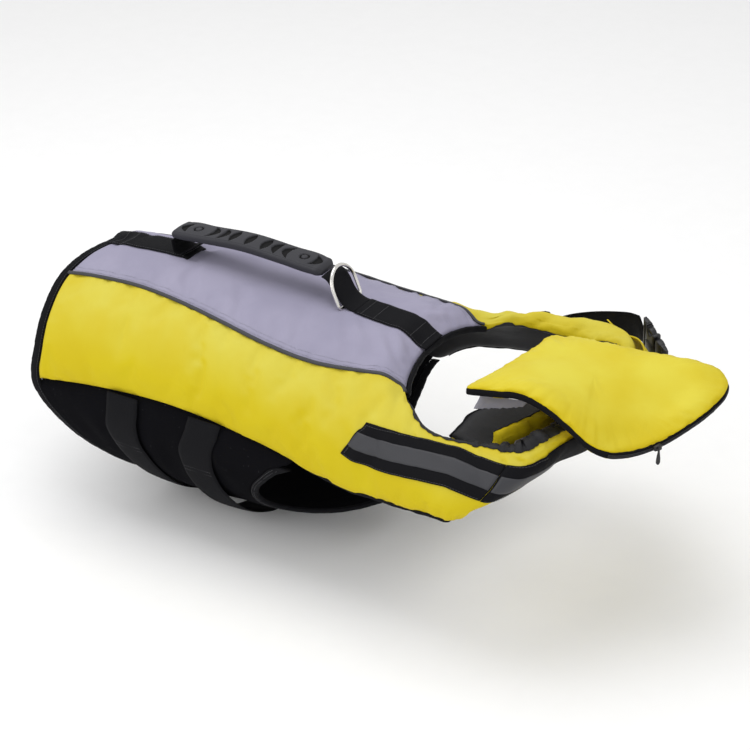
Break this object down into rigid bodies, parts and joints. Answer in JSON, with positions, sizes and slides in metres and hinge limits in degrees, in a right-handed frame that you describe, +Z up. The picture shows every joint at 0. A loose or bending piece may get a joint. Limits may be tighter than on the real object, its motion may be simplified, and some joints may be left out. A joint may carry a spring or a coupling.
{
  "type": "dog life jacket",
  "caption": "Padded flotation vest for a dog, worn form: back, sides with chest arms, belly panel, chin float, grab handle and buckled straps.",
  "frame": {"origin": "where the back panel's inner face rests on the dog's spine, in the jacket's middle plane", "axes": "+X towards the dog's head, +Y its left side, +Z up"},
  "size_m": [0.7431, 0.3698, 0.3132],
  "materials": {
    "yellow_cloth": "woven polyester over closed-cell foam",
    "grey_cloth": "woven polyester over closed-cell foam",
    "black_neoprene": "knit-faced neoprene sheet",
    "black_webbing": "woven nylon webbing and binding tape",
    "black_lining": "brushed mesh lining",
    "reflective_tape": "woven tape with glass beads",
    "moulded_rubber": "soft moulded, satin",
    "hook_tape": "hook tape",
    "black_plastic": "moulded acetal, satin",
    "nickel": "nickel-plated steel, polished"
  },
  "bodies": {
    "jacket": {"arm_binding_left": "black_webbing", "arm_binding_right": "black_webbing", "arm_stripe_left": "reflective_tape", "arm_stripe_right": "reflective_tape", "arm_webbing_left": "black_webbing", "arm_webbing_right": "black_webbing", "back_panel": "grey_cloth", "band_flap": "yellow_cloth", "belly_buckle_front_plug": "black_plastic", "belly_buckle_front_socket": "black_plastic", "belly_buckle_rear_plug": "black_plastic", "belly_buckle_rear_socket": "black_plastic", "belly_panel": "black_neoprene", "belly_strap_front": "black_webbing", "belly_strap_front_end": "black_webbing", "belly_strap_rear": "black_webbing", "belly_strap_rear_end": "black_webbing", "chin_pad": "yellow_cloth", "chin_tab": "hook_tape", "chin_zip_band": "black_webbing", "front_buckle_plug": "black_plastic", "front_buckle_socket": "black_plastic", "front_strap": "black_webbing", "front_strap_left": "black_webbing", "front_stripe": "reflective_tape", "handle_grip": "moulded_rubber", "handle_webbing_front": "black_webbing", "handle_webbing_rear": "black_webbing", "hook_strip": "hook_tape", "leg_binding_left": "black_webbing", "leg_binding_right": "black_webbing", "lining_back": "black_lining", "lining_side_left": "black_lining", "lining_side_right": "black_lining", "neck_binding": "black_webbing", "piping_left": "reflective_tape", "piping_right": "reflective_tape", "side_panel_left": "yellow_cloth", "side_panel_right": "yellow_cloth", "spine_webbing_front": "black_webbing", "spine_webbing_rear": "black_webbing", "tail_binding": "black_webbing", "zip_slider": "black_plastic"},
    "ring": {"d_ring": "nickel"},
    "pull": {"zip_pull": "black_plastic"}
  },
  "joints": [
    {"name": "ring_swing", "type": "hinge", "parent": "jacket", "child": "ring", "pos_m": [0.085, 0, 0.007], "axis": [0, 1, 0], "range_deg": [-2, 100]},
    {"name": "pull_swing", "type": "hinge", "parent": "jacket", "child": "pull", "pos_m": [0.45626, -0.03433, -0.04664], "axis": [0.589, 0.7821, 0.2034], "range_deg": [-40, 8]}
  ]
}
